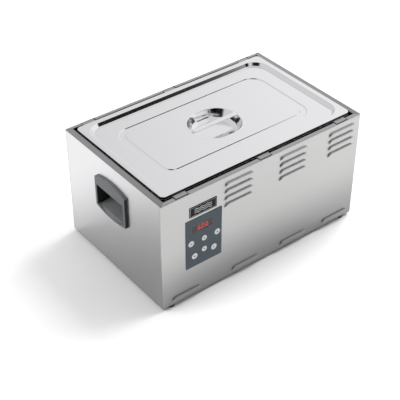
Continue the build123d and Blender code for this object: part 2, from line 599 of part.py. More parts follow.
# ---- Keys: cap, retaining flange behind the frame, and plunger ----
PLUNGER_END = BOARD_Y - SWITCH_TOP - KEY_TRAVEL_GAP
FLANGE_FRONT, FLANGE_T = FRAME_BACK + 0.3, 1.0
KEY_EDGE_R, PLUNGER_R = 0.4, 2.0
for label, (x, z, radius) in KEYS.items():
    with BuildPart() as key:
        with BuildSketch(front_plane(KEY_FACE)):
            with Locations((x, z)):
                Circle(radius)
        extrude(amount=-(FLANGE_FRONT - KEY_FACE))
        fillet(key.edges().group_by(Axis.Y)[0], radius=KEY_EDGE_R)
        with BuildSketch(front_plane(FLANGE_FRONT)):
            with Locations((x, z)):
                Circle(radius + KEY_FLANGE)
        extrude(amount=-FLANGE_T)
        with BuildSketch(front_plane(FLANGE_FRONT + FLANGE_T)):
            with Locations((x, z)):
                Circle(PLUNGER_R)
        extrude(amount=-(PLUNGER_END - FLANGE_FRONT - FLANGE_T))
    finish(key, label)

KEY_SPOTS = [(x, z) for x, z, _ in KEYS.values()]
SWITCH_W, SWITCH_STEM_R, SWITCH_STEM_H = 6.0, 1.75, 1.0
with BuildPart() as tact_switches:
    with BuildSketch(front_plane(BOARD_Y - SWITCH_TOP + SWITCH_STEM_H)):
        with Locations(*KEY_SPOTS):
            Rectangle(SWITCH_W, SWITCH_W)
    extrude(amount=-(SWITCH_TOP - SWITCH_STEM_H))
    with BuildSketch(front_plane(BOARD_Y - SWITCH_TOP)):
        with Locations(*KEY_SPOTS):
            Circle(SWITCH_STEM_R)
    extrude(amount=-SWITCH_STEM_H)
finish(tact_switches, "tact_switches")

# ---- Control board on standoffs ----
BOARD_W, BOARD_H = 82.0, 114.0
STANDOFF_R, STANDOFF_BORE_R, STANDOFF_EDGE = 2.2, 1.3, 3.0
SCREW_HEAD_R, SCREW_HEAD_T, SCREW_R = 2.4, 1.5, 1.25
STANDOFF_DX, STANDOFF_DZ = BOARD_W / 2 - STANDOFF_EDGE, BOARD_H / 2 - STANDOFF_EDGE
STANDOFF_SPOTS = [
    (PANEL_X + sx * STANDOFF_DX, PANEL_Z + sz * STANDOFF_DZ) for sx in (-1, 1) for sz in (-1, 1)
]
with BuildPart() as control_board:
    with BuildSketch(front_plane(BOARD_Y)):
        with Locations((PANEL_X, PANEL_Z)):
            RectangleRounded(BOARD_W, BOARD_H, 1.5)
        with Locations(*STANDOFF_SPOTS):
            Circle(STANDOFF_BORE_R, mode=Mode.SUBTRACT)
    extrude(amount=-BOARD_T)
finish(control_board, "control_board")

with BuildPart() as board_standoffs:
    with BuildSketch(front_plane(FRAME_BACK)):
        with Locations(*STANDOFF_SPOTS):
            Circle(STANDOFF_R)
            Circle(STANDOFF_BORE_R, mode=Mode.SUBTRACT)
    extrude(amount=-(BOARD_Y - FRAME_BACK))
finish(board_standoffs, "board_standoffs")

with BuildPart() as board_screws:
    with BuildSketch(front_plane(BOARD_Y + BOARD_T)):
        with Locations(*STANDOFF_SPOTS):
            Circle(SCREW_HEAD_R)
    extrude(amount=-SCREW_HEAD_T)
    with BuildSketch(front_plane(FRAME_BACK + 1)):
        with Locations(*STANDOFF_SPOTS):
            Circle(SCREW_R)
    extrude(amount=-(BOARD_Y + BOARD_T - FRAME_BACK - 1))
finish(board_screws, "board_screws")

# ---- Blank badge: a plain plate with rounded corners ----
BADGE_CORNER_R = 1.2
with BuildPart() as badge:
    with BuildSketch(front_plane(FRONT_Y - BADGE_T)):
        with Locations((BADGE_X, BADGE_Z)):
            RectangleRounded(BADGE_W, BADGE_H, BADGE_CORNER_R)
    extrude(amount=-BADGE_T)
finish(badge, "badge")

# =====================================================================
# Cup handles
# =====================================================================
FACE_X = -SIDE_X - GRIP_PROUD
CUP_BACK = FACE_X + GRIP_DEPTH
CUP_RISE = 5.0
CUP_SECTION = Plane.XZ
side_plane = Plane(origin=(FACE_X, 0, 0), x_dir=(0, -1, 0), z_dir=(-1, 0, 0))
with BuildPart() as scoop:
    # a nearly level floor, a back wall, and a finger pocket behind the grip's lip
    with BuildSketch(CUP_SECTION.offset(-GRIP_OPEN_W / 2)):
        with BuildLine():
            Polyline(
                (FACE_X - 1, GRIP_SILL_MID),
                (FACE_X, GRIP_SILL_MID),
                (-SIDE_X, CUP_BOTTOM + GRIP_WALL),
                (CUP_BACK, CUP_BOTTOM + GRIP_WALL + CUP_RISE),
                (CUP_BACK, GRIP_POCKET_TOP),
                (FACE_X + GRIP_LIP_T, GRIP_POCKET_TOP),
                (FACE_X + GRIP_LIP_T, GRIP_OPEN_TOP + GRIP_LIP_BEVEL),
                (FACE_X + GRIP_LIP_T - GRIP_LIP_BEVEL, GRIP_OPEN_TOP),
                (FACE_X - 1, GRIP_OPEN_TOP),
                close=True,
            )
        make_face()
    extrude(amount=GRIP_OPEN_W)
    # the sill is bowed like the handle's lower edge
    with BuildSketch(side_plane.offset(1)):
        with BuildLine():
            ThreePointArc(
                (-GRIP_OPEN_W / 2, GRIP_SILL), (0, GRIP_SILL_MID), (GRIP_OPEN_W / 2, GRIP_SILL)
            )
            Polyline(
                (GRIP_OPEN_W / 2, GRIP_SILL),
                (GRIP_OPEN_W / 2, GRIP_POCKET_TOP),
                (-GRIP_OPEN_W / 2, GRIP_POCKET_TOP),
                (-GRIP_OPEN_W / 2, GRIP_SILL),
            )
        make_face()
    extrude(amount=-GRIP_DEPTH - 1, mode=Mode.INTERSECT)

with BuildPart() as left_handle:
    with BuildSketch(side_plane):
        with BuildLine():
            ThreePointArc(
                (-GRIP_W / 2, GRIP_TOP), (0, GRIP_TOP_MID), (GRIP_W / 2, GRIP_TOP)
            )
            Line((GRIP_W / 2, GRIP_TOP), (GRIP_W / 2, GRIP_BOTTOM))
            ThreePointArc(
                (GRIP_W / 2, GRIP_BOTTOM), (0, GRIP_BOTTOM_MID), (-GRIP_W / 2, GRIP_BOTTOM)
            )
            Line((-GRIP_W / 2, GRIP_BOTTOM), (-GRIP_W / 2, GRIP_TOP))
        make_face()
    extrude(amount=-GRIP_PROUD)
    fillet(left_handle.edges().filter_by(Axis.X), radius=GRIP_CORNER_R)
    fillet(left_handle.faces().sort_by(Axis.X)[0].edges(), radius=GRIP_EDGE_R)
    # the cup behind the panel, its underside parallel to the scoop's floor
    with BuildSketch(CUP_SECTION.offset(-CUP_W / 2)):
        with BuildLine():
            Polyline(
                (-SIDE_X, CUP_BOTTOM),
                (CUP_BACK + GRIP_WALL, CUP_BOTTOM + CUP_RISE),
                (CUP_BACK + GRIP_WALL, CUP_TOP),
                (-SIDE_X, CUP_TOP),
                close=True,
            )
        make_face()
    extrude(amount=CUP_W)
    add(scoop.part, mode=Mode.SUBTRACT)
finish(left_handle, "left_handle")

with BuildPart() as right_handle:
    add(mirror(left_handle.part, about=Plane.YZ, mode=Mode.PRIVATE))
finish(right_handle, "right_handle")

# =====================================================================
# Power parts on a tray on the base plate
# =====================================================================
TRAY_L, TRAY_W, TRAY_TOP = 260.0, 180.0, 16.0
TRAY_X = 60.0
with BuildPart() as equipment_tray:
    with Locations((TRAY_X, 0, BASE_TOP)):
        Box(TRAY_L, TRAY_W, TRAY_TOP - BASE_TOP, align=(Align.CENTER, Align.CENTER, Align.MIN))
        Box(TRAY_L + 2, TRAY_W - 2 * SHEET, TRAY_TOP - BASE_TOP - SHEET,
            align=(Align.CENTER, Align.CENTER, Align.MIN), mode=Mode.SUBTRACT)
finish(equipment_tray, "equipment_tray")

SINK_X, SINK_Y = 0.0, 40.0
SINK_L, SINK_W, SINK_H, SINK_TOP_T = 80.0, 56.0, 22.0, 5.0
FIN_PITCH, FIN_GAPS, FIN_GAP = 8.0, 9, 5.0
with BuildPart() as heat_sink:
    with Locations((SINK_X, SINK_Y, TRAY_TOP)):
        Box(SINK_L, SINK_W, SINK_H, align=(Align.CENTER, Align.CENTER, Align.MIN))
        with GridLocations(FIN_PITCH, 0, FIN_GAPS, 1):
            Box(FIN_GAP, SINK_W + 4, SINK_H - SINK_TOP_T,
                align=(Align.CENTER, Align.CENTER, Align.MIN), mode=Mode.SUBTRACT)
finish(heat_sink, "heat_sink")

RELAY_L, RELAY_W, RELAY_H = 57.0, 44.0, 23.0
with BuildPart() as solid_state_relay:
    with Locations((SINK_X, SINK_Y, TRAY_TOP + SINK_H)):
        Box(RELAY_L, RELAY_W, RELAY_H, align=(Align.CENTER, Align.CENTER, Align.MIN))
    fillet(solid_state_relay.edges().filter_by(Axis.Z), radius=3)
finish(solid_state_relay, "solid_state_relay")

TRAFO_X, TRAFO_Y = 120.0, -40.0
CORE_SIZE, BOBBIN_SIZE = (48.0, 40.0, 36.0), (30.0, 56.0, 28.0)
with BuildPart() as transformer:
    with Locations((TRAFO_X, TRAFO_Y, TRAY_TOP)):
        Box(*CORE_SIZE, align=(Align.CENTER, Align.CENTER, Align.MIN))
        Box(*BOBBIN_SIZE, align=(Align.CENTER, Align.CENTER, Align.MIN))
finish(transformer, "transformer")

BLOCK_X, BLOCK_Y = 150.0, 45.0
BLOCK_L, BLOCK_W, BLOCK_H = 60.0, 20.0, 18.0
POLE_PITCH, POLES, POLE_R, POLE_DEPTH = 10.0, 6, 3.0, 3.0
with BuildPart() as terminal_block:
    with Locations((BLOCK_X, BLOCK_Y, TRAY_TOP)):
        Box(BLOCK_L, BLOCK_W, BLOCK_H, align=(Align.CENTER, Align.CENTER, Align.MIN))
    with Locations((BLOCK_X, BLOCK_Y, TRAY_TOP + BLOCK_H)):
        with GridLocations(POLE_PITCH, 0, POLES, 1):
            Cylinder(POLE_R, 2 * POLE_DEPTH, mode=Mode.SUBTRACT)
finish(terminal_block, "terminal_block")

# ---- Mains inlet in the rear panel: shrouded socket with three blades ----
INLET_FACE = -FRONT_Y + INLET_FLANGE_T
SOCKET_W, SOCKET_H, SOCKET_D = 24.2, 16.2, 18.0
INLET_CORNER_R = 5.0
with BuildPart() as power_inlet:
    with Locations((INLET_X, INLET_FACE, INLET_Z)):
        Box(INLET_FLANGE_W, INLET_FLANGE_T, INLET_FLANGE_H,
            align=(Align.CENTER, Align.MAX, Align.CENTER))
    fillet(power_inlet.edges().filter_by(Axis.Y), radius=INLET_CORNER_R)
    with Locations((INLET_X, -FRONT_Y, INLET_Z)):
        Box(INLET_BODY_W, INLET_BODY_D, INLET_BODY_H, align=(Align.CENTER, Align.MAX, Align.CENTER))
    with Locations((INLET_X, INLET_FACE, INLET_Z)):
        Box(SOCKET_W, SOCKET_D, SOCKET_H, align=(Align.CENTER, Align.MAX, Align.CENTER),
            mode=Mode.SUBTRACT)
    with Locations(*[(INLET_X + dx, -FRONT_Y, INLET_Z) for dx in (-INLET_SCREW_X, INLET_SCREW_X)]):
        Cylinder(INLET_HOLE_R, INLET_BODY_D, rotation=(90, 0, 0), mode=Mode.SUBTRACT)
finish(power_inlet, "power_inlet")

BLADE_T, BLADE_L, BLADE_H = 2.0, 11.0, 4.0
BLADE_SPOTS = [(-7.0, -2.0), (0.0, 2.0), (7.0, -2.0)]
with BuildPart() as inlet_pins:
    with Locations(*[(INLET_X + dx, INLET_FACE - SOCKET_D, INLET_Z + dz) for dx, dz in BLADE_SPOTS]):
        Box(BLADE_T, BLADE_L, BLADE_H, align=(Align.CENTER, Align.MIN, Align.CENTER))
finish(inlet_pins, "inlet_pins")

INLET_HEAD_R, INLET_HEAD_T, INLET_SCREW_R, INLET_SCREW_L = 2.6, 0.9, 1.5, 12.0
with BuildPart() as inlet_screws:
    for dx in (-INLET_SCREW_X, INLET_SCREW_X):
        with Locations((INLET_X + dx, INLET_FACE, INLET_Z)):
            Cylinder(INLET_HEAD_R, INLET_HEAD_T, rotation=(-90, 0, 0),
                     align=(Align.CENTER, Align.CENTER, Align.MIN))
            Cylinder(INLET_SCREW_R, INLET_SCREW_L, rotation=(-90, 0, 0),
                     align=(Align.CENTER, Align.CENTER, Align.MAX))
finish(inlet_screws, "inlet_screws")

PLATE_X, PLATE_Z = -190.0, 70.0
PLATE_W, PLATE_T, PLATE_H = 70.0, 0.5, 45.0
with BuildPart() as rating_plate:
    with Locations((PLATE_X, -FRONT_Y, PLATE_Z)):
        Box(PLATE_W, PLATE_T, PLATE_H, align=(Align.CENTER, Align.MIN, Align.CENTER))
    fillet(rating_plate.edges().filter_by(Axis.Y), radius=2)
finish(rating_plate, "rating_plate")

# =====================================================================
# Internal leads, clipped along fixed routes
# =====================================================================


def lead(builder_label, radius, routes, bend):
    """Round leads of one size along routes of straight runs joined by tangent arcs."""
    with BuildPart() as leads:
        for route in routes:
            with BuildLine() as path:
                FilletPolyline(*route, radius=bend)
            start = path.line @ 0
            with BuildSketch(Plane(origin=start, z_dir=path.line % 0)):
                Circle(radius)
            sweep(path=path.line)
    finish(leads, builder_label)


BOARD_FOOT_Z = PANEL_Z - BOARD_H / 2
DUCT_X, DUCT_Y, DUCT_Z = -150.0, -120.0, 50.0
RELAY_END = (SINK_X - RELAY_L / 2, SINK_Y, DUCT_Z)
CONTROL_LEAD_R, CONTROL_BEND = 2.5, 12.0
lead("control_lead", CONTROL_LEAD_R, [[
    (DUCT_X, BOARD_Y + 2 * CONTROL_LEAD_R, BOARD_FOOT_Z - 3),
    (DUCT_X, BOARD_Y + 2 * CONTROL_LEAD_R, DUCT_Z),
    (DUCT_X, DUCT_Y, DUCT_Z),
    (DUCT_X + 60, SINK_Y, DUCT_Z),
    RELAY_END,
]], CONTROL_BEND)

MAT_EDGE_Z = TANK_BOTTOM - MAT_T / 2
HEATER_LEAD_R, HEATER_BEND = 1.2, 7.0
# each heater lead: its Y at the mat, how far it runs out, and its height at the terminals
HEATER_RUNS = ((30.0, 28.0, 21.0), (38.0, 24.0, 28.0))
HEATER_SHIFT = 10.0
lead("heater_leads", HEATER_LEAD_R, [
    [
        (MAT_L / 2, y, MAT_EDGE_Z),
        (MAT_L / 2 + out, y, MAT_EDGE_Z),
        (MAT_L / 2 + out, y + HEATER_SHIFT, z),
        (BLOCK_X + BLOCK_L / 2, y + HEATER_SHIFT, z),
    ]
    for y, out, z in HEATER_RUNS
], HEATER_BEND)

MAINS_LEAD_R, MAINS_BEND, MAINS_Z = 3.2, 12.0, 26.0
lead("mains_lead", MAINS_LEAD_R, [[
    (INLET_X, -FRONT_Y - INLET_BODY_D, INLET_Z),
    (INLET_X, -FRONT_Y - INLET_BODY_D - 43, INLET_Z),
    (BLOCK_X + 5, 2 * BLOCK_Y, MAINS_Z),
    (BLOCK_X + 5, BLOCK_Y + BLOCK_W / 2, MAINS_Z),
]], MAINS_BEND)
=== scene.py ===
import bpy
import bmesh
import json
import math
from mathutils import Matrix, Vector


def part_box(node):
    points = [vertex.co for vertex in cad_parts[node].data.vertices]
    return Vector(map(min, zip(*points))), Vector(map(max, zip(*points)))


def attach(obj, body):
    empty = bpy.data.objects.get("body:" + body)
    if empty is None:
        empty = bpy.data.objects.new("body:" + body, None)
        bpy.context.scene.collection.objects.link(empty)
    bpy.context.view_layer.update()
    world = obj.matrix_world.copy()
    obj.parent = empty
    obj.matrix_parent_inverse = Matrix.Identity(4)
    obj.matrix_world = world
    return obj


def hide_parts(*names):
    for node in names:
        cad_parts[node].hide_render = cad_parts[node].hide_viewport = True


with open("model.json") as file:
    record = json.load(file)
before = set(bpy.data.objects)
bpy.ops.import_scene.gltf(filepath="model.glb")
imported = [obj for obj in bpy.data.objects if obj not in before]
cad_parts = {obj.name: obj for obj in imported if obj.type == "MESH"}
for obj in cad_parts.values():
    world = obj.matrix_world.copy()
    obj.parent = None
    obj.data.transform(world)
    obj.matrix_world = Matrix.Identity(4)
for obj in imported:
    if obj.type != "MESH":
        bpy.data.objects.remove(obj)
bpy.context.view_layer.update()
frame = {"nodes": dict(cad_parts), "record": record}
NODES = frame["nodes"]
MM = 0.001

# ---- places taken from the frame ----
LID_LOW, LID_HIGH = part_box("lid_sheet")
STRAP_LOW, STRAP_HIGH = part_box("lid_strap")
BADGE_LOW, BADGE_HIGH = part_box("badge")
KEY_BODIES = {
    name: body for body, members in frame["record"]["behaviour"]["bodies"].items()
    for name in members if name.startswith("key_")
}


# =====================================================================
# Camera
# =====================================================================
CAMERA_AT = Vector((-1.201, -1.488, 1.540))
CAMERA_TO = Vector((-0.0506, -0.0119, 0.0975))
LENS = 91.2
SENSOR_WIDTH = 36.0


def make_camera():
    data = bpy.data.cameras.new("camera")
    data.lens = LENS
    data.sensor_width = SENSOR_WIDTH
    camera = bpy.data.objects.new("camera", data)
    camera.location = CAMERA_AT
    camera.rotation_euler = (CAMERA_TO - CAMERA_AT).to_track_quat("-Z", "Y").to_euler()
    bpy.context.scene.collection.objects.link(camera)
    bpy.context.scene.camera = camera


make_camera()
bpy.context.scene.view_settings.view_transform = "Standard"


# =====================================================================
# Node helpers
# =====================================================================
class Graph:
    """A small wrapper that adds shader nodes and links them by name."""

    def __init__(self, tree):
        self.tree = tree

    def add(self, kind, inputs=None, **settings):
        node = self.tree.nodes.new(kind)
        for key, value in settings.items():
            setattr(node, key, value)
        for key, value in (inputs or {}).items():
            if isinstance(value, bpy.types.NodeSocket):
                self.tree.links.new(value, node.inputs[key])
            else:
                node.inputs[key].default_value = value
        return node

    def ramp(self, factor, stops):
        """A colour ramp between two stops."""
        node = self.tree.nodes.new("ShaderNodeValToRGB")
        self.tree.links.new(factor, node.inputs["Fac"])
        for element, (position, colour) in zip(node.color_ramp.elements, stops):
            element.position = position
            element.color = (*colour, 1.0)
        return node.outputs["Color"]

    def remap(self, value, low, high, from_low=0.0, from_high=1.0, **settings):
        node = self.add("ShaderNodeMapRange", {
            "Value": value, "From Min": from_low, "From Max": from_high,
            "To Min": low, "To Max": high,
        }, **settings)
        return node.outputs["Result"]

    def dot(self, a, b):
        return self.add("ShaderNodeVectorMath", {0: a, 1: b}, operation="DOT_PRODUCT").outputs["Value"]

    def dimmed(self, colour, factor):
        """A colour times a factor from another node."""
        node = self.add("ShaderNodeVectorMath", {0: colour, "Scale": factor}, operation="SCALE")
        return node.outputs[0]

    def blend(self, amount, a, b):
        return self.add("ShaderNodeMix", {0: amount, 2: a, 3: b}, data_type="FLOAT").outputs[0]


def scaled(colour, k):
    return tuple(min(1.0, c * k) for c in colour)


def new_material(name, **shader):
    """A material with a Principled shader whose even values are set on its own sockets."""
    mat = bpy.data.materials.new(name)
    mat.use_nodes = True
    graph = Graph(mat.node_tree)
    bsdf = mat.node_tree.nodes["Principled BSDF"]
    for socket, value in shader.items():
        bsdf.inputs[socket.replace("_", " ")].default_value = value
    return mat, graph, bsdf


def link(graph, output, bsdf, socket):
    graph.tree.links.new(output, bsdf.inputs[socket])


NOISE_ROUGHNESS = 0.55


def noise(graph, scale, detail=3.0, stretch=(1, 1, 1)):
    """Noise in the object's own metres, stretched along its axes."""
    place = graph.add("ShaderNodeTexCoord").outputs["Object"]
    mapped = graph.add("ShaderNodeMapping", {"Vector": place, "Scale": stretch}).outputs["Vector"]
    node = graph.add("ShaderNodeTexNoise", {
        "Vector": mapped, "Scale": scale, "Detail": detail, "Roughness": NOISE_ROUGHNESS,
    })
    return node.outputs["Fac"]


# =====================================================================
# Materials
# =====================================================================
def painted_shade_ramp(graph, way, start, end, low):
    """Painted shade: a tone that goes from low to 1 along a direction, in the object's own metres."""
    place = graph.add("ShaderNodeTexCoord").outputs["Object"]
    along = graph.dot(place, way)
    return graph.remap(along, low, 1.0, start, end, interpolation_type="SMOOTHSTEP")


BEVEL_SAMPLES = 4
STEEL_GRAIN, STEEL_SMUDGE = 420.0, 9.0
PLASTIC_CLOUD = 22.0
GLOSS_SPREAD = 0.06
# tone range of the painted light and shade on plastics, from facing away to facing the given way
PAINTED_SHADE_LOW, PAINTED_LIGHT_HIGH = 0.12, 1.88


def finish_surface(graph, bsdf, grain, strength, depth, edge):
    """Softened edges with the grain's bump over them."""
    round_edges = graph.add("ShaderNodeBevel", {"Radius": edge}, samples=BEVEL_SAMPLES).outputs["Normal"]
    bump = graph.add("ShaderNodeBump", {
        "Height": grain, "Strength": strength, "Distance": depth, "Normal": round_edges,
    })
    link(graph, bump.outputs["Normal"], bsdf, "Normal")


def steel(name, colour, roughness, spread, stretch, grain_depth, edge=0.0008, painted_shades=(),
          contrast=0.06):
    """Rolled or brushed stainless: fine grain along one axis, faint smudges, softened edges, and painted
    shade that darkens the base colour along each given direction.
    """
    mat, graph, bsdf = new_material(name, Metallic=1.0)
    grain = noise(graph, STEEL_GRAIN, 4.0, stretch)
    smudge = noise(graph, STEEL_SMUDGE)
    tone = graph.blend(0.35, grain, smudge)
    shade = graph.ramp(tone, [
        (0.25, scaled(colour, 1 - contrast)), (0.75, scaled(colour, 1 + contrast)),
    ])
    # painted shade: darken the base colour along each given direction, from low up to full
    for way, start, end, low in painted_shades:
        shade = graph.dimmed(shade, painted_shade_ramp(graph, way, start, end, low))
    link(graph, shade, bsdf, "Base Color")
    gloss = graph.remap(
        graph.blend(0.5, grain, smudge), roughness - spread, roughness + spread, 0.3, 0.7,
    )
    link(graph, gloss, bsdf, "Roughness")
    finish_surface(graph, bsdf, grain, 0.25, grain_depth, edge)
    return mat


def plastic(name, colour, roughness, grain_scale, grain_depth, variation=0.08, edge=0.0006,
            shine=0.5, facing=None):
    """Moulded plastic or rubber: spark-eroded grain, uneven gloss, slightly worn edges, and painted light
    and shade by facing where a facing is given.
    """
    mat, graph, bsdf = new_material(name, Specular_IOR_Level=shine)
    grain = noise(graph, grain_scale)
    cloud = noise(graph, PLASTIC_CLOUD, 4.0)
    shade = graph.ramp(cloud, [
        (0.3, scaled(colour, 1 - variation)), (0.7, scaled(colour, 1 + variation)),
    ])
    if facing:
        # painted light and shade: paler where the surface faces this way, darker where it faces away
        normal = graph.add("ShaderNodeNewGeometry").outputs["Normal"]
        factor = graph.remap(graph.dot(normal, facing), PAINTED_SHADE_LOW, PAINTED_LIGHT_HIGH, -1.0, 1.0)
        shade = graph.dimmed(shade, factor)
    link(graph, shade, bsdf, "Base Color")
    gloss = graph.remap(cloud, roughness - GLOSS_SPREAD, roughness + GLOSS_SPREAD, 0.3, 0.7)
    link(graph, gloss, bsdf, "Roughness")
    finish_surface(graph, bsdf, grain, 0.4, grain_depth, edge)
    return mat


def wool_material():
    mat, graph, bsdf = new_material("mineral_wool", Sheen_Weight=0.3)
    fibre = noise(graph, 160.0, 6.0, (1, 6, 6))
    shade = graph.ramp(fibre, [(0.3, (0.45, 0.40, 0.28)), (0.7, (0.80, 0.75, 0.58))])
    link(graph, shade, bsdf, "Base Color")
    link(graph, graph.remap(fibre, 0.8, 1.0), bsdf, "Roughness")
    bump = graph.add("ShaderNodeBump", {"Height": fibre, "Strength": 0.8, "Distance": 0.002})
    link(graph, bump.outputs["Normal"], bsdf, "Normal")
    return mat


def board_material():
    """Solder mask with a grid of paler lines."""
    mat, graph, bsdf = new_material("circuit_board")
    place = graph.add("ShaderNodeTexCoord").outputs["Object"]
    brick = graph.add("ShaderNodeTexBrick", {
        "Vector": place, "Scale": 90.0, "Mortar Size": 0.03,
        "Color1": (0.012, 0.13, 0.05, 1), "Color2": (0.016, 0.16, 0.06, 1),
        "Mortar": (0.05, 0.30, 0.12, 1),
    })
    link(graph, brick.outputs["Color"], bsdf, "Base Color")
    link(graph, graph.remap(noise(graph, 60.0), 0.25, 0.45), bsdf, "Roughness")
    return mat


def lens_material():
    """Smoked window: thin tinted plastic that lets the lit digits through."""
    mat, graph, bsdf = new_material(
        "smoked_window", Transmission_Weight=1.0, IOR=1.45, Specular_IOR_Level=0.35,
    )
    haze = noise(graph, 30.0)
    tint = graph.ramp(haze, [(0.3, (0.30, 0.11, 0.11)), (0.7, (0.36, 0.13, 0.12))])
    link(graph, tint, bsdf, "Base Color")
    link(graph, graph.remap(haze, 0.04, 0.10), bsdf, "Roughness")
    return mat


def lit_material(strength):
    """Lit segments: red with a faint unevenness."""
    mat, graph, bsdf = new_material("lit_segments", Emission_Strength=strength)
    glow = noise(graph, 700.0)
    tint = graph.ramp(glow, [(0.3, (1.0, 0.02, 0.01)), (0.7, (1.0, 0.07, 0.03))])
    link(graph, tint, bsdf, "Base Color")
    link(graph, tint, bsdf, "Emission Color")
    link(graph, graph.remap(glow, 0.3, 0.5), bsdf, "Roughness")
    return mat


def brass_material():
    mat, graph, bsdf = new_material("plated_brass", Metallic=1.0)
    wear = noise(graph, 500.0, 3.0, (1, 1, 5))
    shade = graph.ramp(wear, [(0.3, (0.70, 0.62, 0.42)), (0.7, (0.83, 0.76, 0.55))])
    link(graph, shade, bsdf, "Base Color")
    link(graph, graph.remap(wear, 0.2, 0.4), bsdf, "Roughness")
    return mat


MATERIALS = {
    # painted shade: the casing steel darkens towards the bottom, and its top flange is painted a little
    # darker
    "casing_steel": steel(
        "casing_steel", (0.455, 0.455, 0.452), 0.30, 0.03, (0.05, 1, 1), 0.00002,
        painted_shades=[((0, 0, 1), 0.0, 0.17, 0.62), ((0, 0, -1), -0.2898, -0.2885, 0.92)], contrast=0.03,
    ),
    # painted light and shade: the side panels get a paler copy of the casing steel, darker towards the
    # near bottom and lighter towards the far top, with a darker top flange
    "side_steel_painted_paler": steel(
        "side_steel_painted_paler", (0.64, 0.64, 0.65), 0.30, 0.03, (1, 0.05, 1), 0.00002,
        painted_shades=[((0, 0.8, 1), -0.06, 0.34, 0.58), ((0, 0, -1), -0.2898, -0.2885, 0.56)], contrast=0.03,
    ),
    "inner_steel": steel("inner_steel", (0.60, 0.60, 0.62), 0.38, 0.05, (0.1, 1, 1), 0.00003),
    "tank_steel": steel("tank_steel", (0.76, 0.76, 0.78), 0.24, 0.04, (0.1, 1, 1), 0.00002),
    "lid_steel": steel(
        "lid_steel", (0.87, 0.87, 0.885), 0.11, 0.015, (0.1, 1, 1), 0.000002, 0.0004, contrast=0.012,
    ),
    # painted reflection: near-black steel on the lid's skirt, standing in for the dark gap it reflects
    "skirt_painted_black": steel("skirt_painted_black", (0.10, 0.10, 0.11), 0.30, 0.03, (0.1, 1, 1), 0.00001, 0.0004),
    "black_rubber": plastic("black_rubber", (0.012, 0.012, 0.013), 0.62, 900.0, 0.0001),
    # painted light and shade: the handle plastic is paler where it faces up and back, darker where it
    # faces the front
    "handle_plastic": plastic("handle_plastic", (0.10, 0.102, 0.106), 0.42, 1400.0, 0.00008, shine=0.3,
                              facing=(0.0, 1.0, 1.1)),
    "overlay_grey": plastic("overlay_grey", (0.062, 0.080, 0.096), 0.5, 2200.0, 0.00002, 0.03, shine=0.25),
    "display_lens": lens_material(),
    "display_black": plastic("display_black", (0.012, 0.008, 0.008), 0.5, 1200.0, 0.00003),
    "display_red": lit_material(3.0),
    "lamp_unlit": plastic("lamp_unlit", (0.03, 0.035, 0.04), 0.35, 1500.0, 0.00001),
    "key_white": plastic("key_white", (0.62, 0.65, 0.66), 0.42, 1800.0, 0.00002, 0.03),
    "badge_black": plastic("badge_black", (0.006, 0.006, 0.007), 0.5, 2000.0, 0.00001, 0.05, shine=0.15),
    "plate_foil": plastic("plate_foil", (0.30, 0.31, 0.32), 0.4, 1500.0, 0.00001, 0.04),
    "board_green": board_material(),
    "switch_plastic": plastic("switch_plastic", (0.03, 0.03, 0.032), 0.5, 1200.0, 0.00005),
    "wool": wool_material(),
    "heater_silicone": plastic("heater_silicone", (0.35, 0.07, 0.035), 0.6, 700.0, 0.0001),
    "sink_aluminium": steel("sink_aluminium", (0.82, 0.82, 0.84), 0.35, 0.05, (0.2, 1, 1), 0.00003),
    "core_iron": plastic("core_iron", (0.10, 0.08, 0.06), 0.45, 800.0, 0.0001, 0.2),
    "pin_brass": brass_material(),
}
NODE_MATERIALS = {
    "left_panel": "side_steel_painted_paler", "right_panel": "side_steel_painted_paler",
    "indicator_lamp": "lamp_unlit", "rating_plate": "plate_foil",
}


def dress_nodes():
    """Give every CAD node the material of its slot."""
    for entry in frame["record"]["subparts"]:
        node, slot_name = entry["node"], entry["material_slot"]
        obj = NODES[node]
        mat = MATERIALS[NODE_MATERIALS.get(node, slot_name)]
        obj.data.materials.clear()
        obj.data.materials.append(mat)


dress_nodes()


# =====================================================================
# Mesh helpers
# =====================================================================
def mesh_piece(name, vertices, faces, mat, body):
    """A new mesh object with its material, riding on its body."""
    mesh = bpy.data.meshes.new(name)
    mesh.from_pydata([tuple(v) for v in vertices], [], faces)
    mesh.validate()
    for polygon in mesh.polygons:
        polygon.use_smooth = True
    mesh.materials.append(mat)
    obj = bpy.data.objects.new(name, mesh)
    bpy.context.scene.collection.objects.link(obj)
    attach(obj, body)
    return obj


CORNER_STEPS = 14


def ring(half_l, half_w, radius, z):
    """Points of a rounded rectangle, counter-clockwise, the same count for every size."""
    points = []
    for quarter, (sx, sy) in enumerate(((1, 1), (-1, 1), (-1, -1), (1, -1))):
        cx, cy = sx * (half_l - radius), sy * (half_w - radius)
        for step in range(CORNER_STEPS + 1):
            angle = math.radians(90 * quarter + 90 * step / CORNER_STEPS)
            points.append(Vector((cx + radius * math.cos(angle), cy + radius * math.sin(angle), z)))
    return points


def loft_rings(rings, cap_first=False, cap_last=False):
    """Vertices and quads joining rings of equal count, one after another."""
    count = len(rings[0])
    vertices = [p for r in rings for p in r]
    faces = []
    for i in range(len(rings) - 1):
        for j in range(count):
            k = (j + 1) % count
            faces.append((i * count + j, i * count + k, (i + 1) * count + k, (i + 1) * count + j))
    if cap_first:
        faces.append(tuple(reversed(range(count))))
    if cap_last:
        start = (len(rings) - 1) * count
        faces.append(tuple(range(start, start + count)))
    return vertices, faces


def arc(cx, cz, radius, start, end, steps=5):
    """Profile points (inset, z) along an arc given in degrees."""
    return [
        (cx + radius * math.cos(math.radians(start + (end - start) * i / steps)),
         cz + radius * math.sin(math.radians(start + (end - start) * i / steps)))
        for i in range(steps + 1)
    ]


